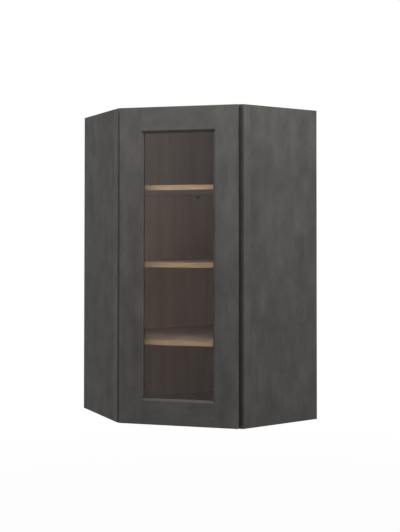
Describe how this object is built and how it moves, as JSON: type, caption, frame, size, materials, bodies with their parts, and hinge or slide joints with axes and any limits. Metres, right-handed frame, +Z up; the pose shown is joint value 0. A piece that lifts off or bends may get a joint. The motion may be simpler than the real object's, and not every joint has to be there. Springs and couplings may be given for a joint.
{
  "type": "corner wall cabinet",
  "caption": "Diagonal corner wall cabinet with a framed glass door, adjustable shelves and concealed hinges, in grey stained wood.",
  "frame": {"origin": "the corner where the two walls meet, at the cabinet's underside", "axes": "+X along one wall, -Y along the other, +Z up; the door faces the direction (+1, -1, 0)"},
  "size_m": [0.6141, 0.6141, 1.0668],
  "materials": {
    "stained_wood": "satin grey stain over fine wood grain",
    "natural_wood": "clear satin lacquer over light wood",
    "glass": "clear flat glass",
    "nickel_plate": "nickel plated pressed steel",
    "zinc_screws": "zinc plated steel",
    "clear_bumper": "clear soft plastic"
  },
  "bodies": {
    "cabinet": {"right_side_panel": "stained_wood", "left_side_panel": "stained_wood", "top_panel": "natural_wood", "bottom_panel": "natural_wood", "right_back_panel": "natural_wood", "left_back_panel": "natural_wood", "upper_right_wall_rail": "natural_wood", "lower_right_wall_rail": "natural_wood", "upper_left_wall_rail": "natural_wood", "lower_left_wall_rail": "natural_wood", "corner_cleat": "natural_wood", "frame_left_stile": "stained_wood", "frame_right_stile": "stained_wood", "frame_top_rail": "stained_wood", "frame_bottom_rail": "stained_wood", "frame_pocket_screws": "zinc_screws", "shelf_1_board": "natural_wood", "shelf_1_edge": "natural_wood", "shelf_1_pins": "nickel_plate", "shelf_2_board": "natural_wood", "shelf_2_edge": "natural_wood", "shelf_2_pins": "nickel_plate", "shelf_3_board": "natural_wood", "shelf_3_edge": "natural_wood", "shelf_3_pins": "nickel_plate", "hinge_1_arm": "nickel_plate", "hinge_1_plate": "nickel_plate", "hinge_2_arm": "nickel_plate", "hinge_2_plate": "nickel_plate", "hinge_3_arm": "nickel_plate", "hinge_3_plate": "nickel_plate", "hinge_plate_screws": "zinc_screws", "hinge_arm_screws": "zinc_screws"},
    "door": {"door_left_stile": "stained_wood", "door_right_stile": "stained_wood", "door_top_rail": "stained_wood", "door_bottom_rail": "stained_wood", "glass_pane": "glass", "left_glazing_bead": "stained_wood", "right_glazing_bead": "stained_wood", "top_glazing_bead": "stained_wood", "bottom_glazing_bead": "stained_wood", "glazing_brads": "zinc_screws", "door_bumpers": "clear_bumper", "hinge_1_cup": "nickel_plate", "hinge_1_pin": "nickel_plate", "hinge_1_spring": "nickel_plate", "hinge_2_cup": "nickel_plate", "hinge_2_pin": "nickel_plate", "hinge_2_spring": "nickel_plate", "hinge_3_cup": "nickel_plate", "hinge_3_pin": "nickel_plate", "hinge_3_spring": "nickel_plate", "hinge_cup_screws": "zinc_screws"}
  },
  "joints": [
    {"name": "door_swing", "type": "hinge", "parent": "cabinet", "child": "door", "pos_m": [0.32035, -0.60274, 0.5334], "axis": [0, 0, -1], "range_deg": [0, 105]}
  ]
}
